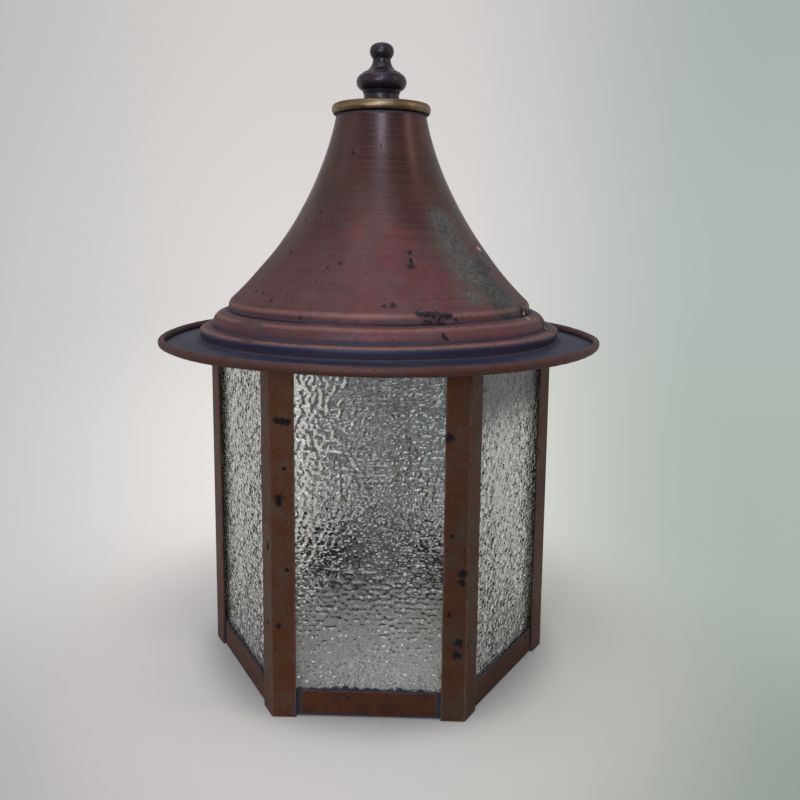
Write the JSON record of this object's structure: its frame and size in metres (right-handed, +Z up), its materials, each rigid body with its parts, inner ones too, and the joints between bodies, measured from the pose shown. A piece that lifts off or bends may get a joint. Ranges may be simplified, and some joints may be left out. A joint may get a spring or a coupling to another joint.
{
  "type": "outdoor wall lantern",
  "caption": "Hexagonal aged-copper outdoor lantern with hammered glass bays, folded corner posts, a full round spun roof with wired brim, brass crown ring and turned finial",
  "frame": {"origin": "On the standing surface, under the middle of the lantern: the bottom centre of the bounding box", "axes": "+Z up through the finial, -Y towards the front bay, +Y towards the wall, +X to the right seen from the front"},
  "size_m": [0.302, 0.302, 0.4258],
  "materials": {
    "roof_copper": "aged, satin",
    "rim_copper": "aged",
    "aged_brass": "aged",
    "crown_copper": "aged",
    "washer_rubber": "dull",
    "dark_bronze": "dark, glossy",
    "clip_copper": "aged",
    "plate_tinned": "tinned, dull",
    "rivet_copper": "aged",
    "post_copper": "dark patina",
    "rail_copper": "dark patina",
    "holder_brass": "aged",
    "porcelain": "glazed",
    "cap_steel": "plated",
    "filament_steel": "drawn wire",
    "hammered_glass": "hammered",
    "lamp_glass": "clear"
  },
  "bodies": {
    "body": {"post_front_left": "post_copper", "post_front_right": "post_copper", "post_right": "post_copper", "post_rear_right": "post_copper", "post_rear_left": "post_copper", "post_left": "post_copper", "rail_front": "rail_copper", "rail_front_right": "rail_copper", "rail_rear_right": "rail_copper", "rail_rear": "rail_copper", "rail_rear_left": "rail_copper", "rail_front_left": "rail_copper", "head_rail_front": "rail_copper", "head_rail_front_right": "rail_copper", "head_rail_rear_right": "rail_copper", "head_rail_rear": "rail_copper", "head_rail_rear_left": "rail_copper", "head_rail_front_left": "rail_copper", "pane_front": "hammered_glass", "pane_front_right": "hammered_glass", "pane_rear_right": "hammered_glass", "pane_rear_left": "hammered_glass", "pane_front_left": "hammered_glass", "glass_clips": "clip_copper", "back_plate": "plate_tinned", "plate_rivets": "rivet_copper", "cable_bush": "aged_brass", "bush_nut": "aged_brass", "head_ring": "post_copper", "bridge_bar": "rail_copper", "bridge_screws": "aged_brass", "bridge_nuts": "aged_brass", "tie_rod": "aged_brass", "rod_nuts": "aged_brass", "lamp_arm": "rail_copper", "arm_rivets": "rivet_copper", "nipple": "aged_brass", "nipple_nut": "aged_brass", "holder_cup": "holder_brass", "holder_insert": "porcelain", "holder_shell": "holder_brass", "holder_skirt": "holder_brass", "holder_contact": "holder_brass"},
    "roof": {"roof_bell": "roof_copper", "roof_brim": "roof_copper", "rim_wire": "rim_copper", "crown_ring": "aged_brass", "crown_cap": "crown_copper", "finial_washer": "washer_rubber"},
    "finial": {"finial": "dark_bronze"},
    "lamp": {"lamp_cap": "cap_steel", "lamp_globe": "lamp_glass", "lamp_stem": "lamp_glass", "lamp_filament": "filament_steel"}
  },
  "joints": [
    {"name": "roof_lift", "type": "slide", "parent": "body", "child": "roof", "axis": [0, 0, 1], "range_m": [0, 0.185]},
    {"name": "finial_turn", "type": "hinge", "parent": "roof", "child": "finial", "pos_m": [0, 0, 0.38525], "axis": [0, 0, 1], "continuous": true},
    {"name": "lamp_turn", "type": "hinge", "parent": "body", "child": "lamp", "pos_m": [0, 0, 0.0754], "axis": [0, 0, 1], "continuous": true}
  ]
}
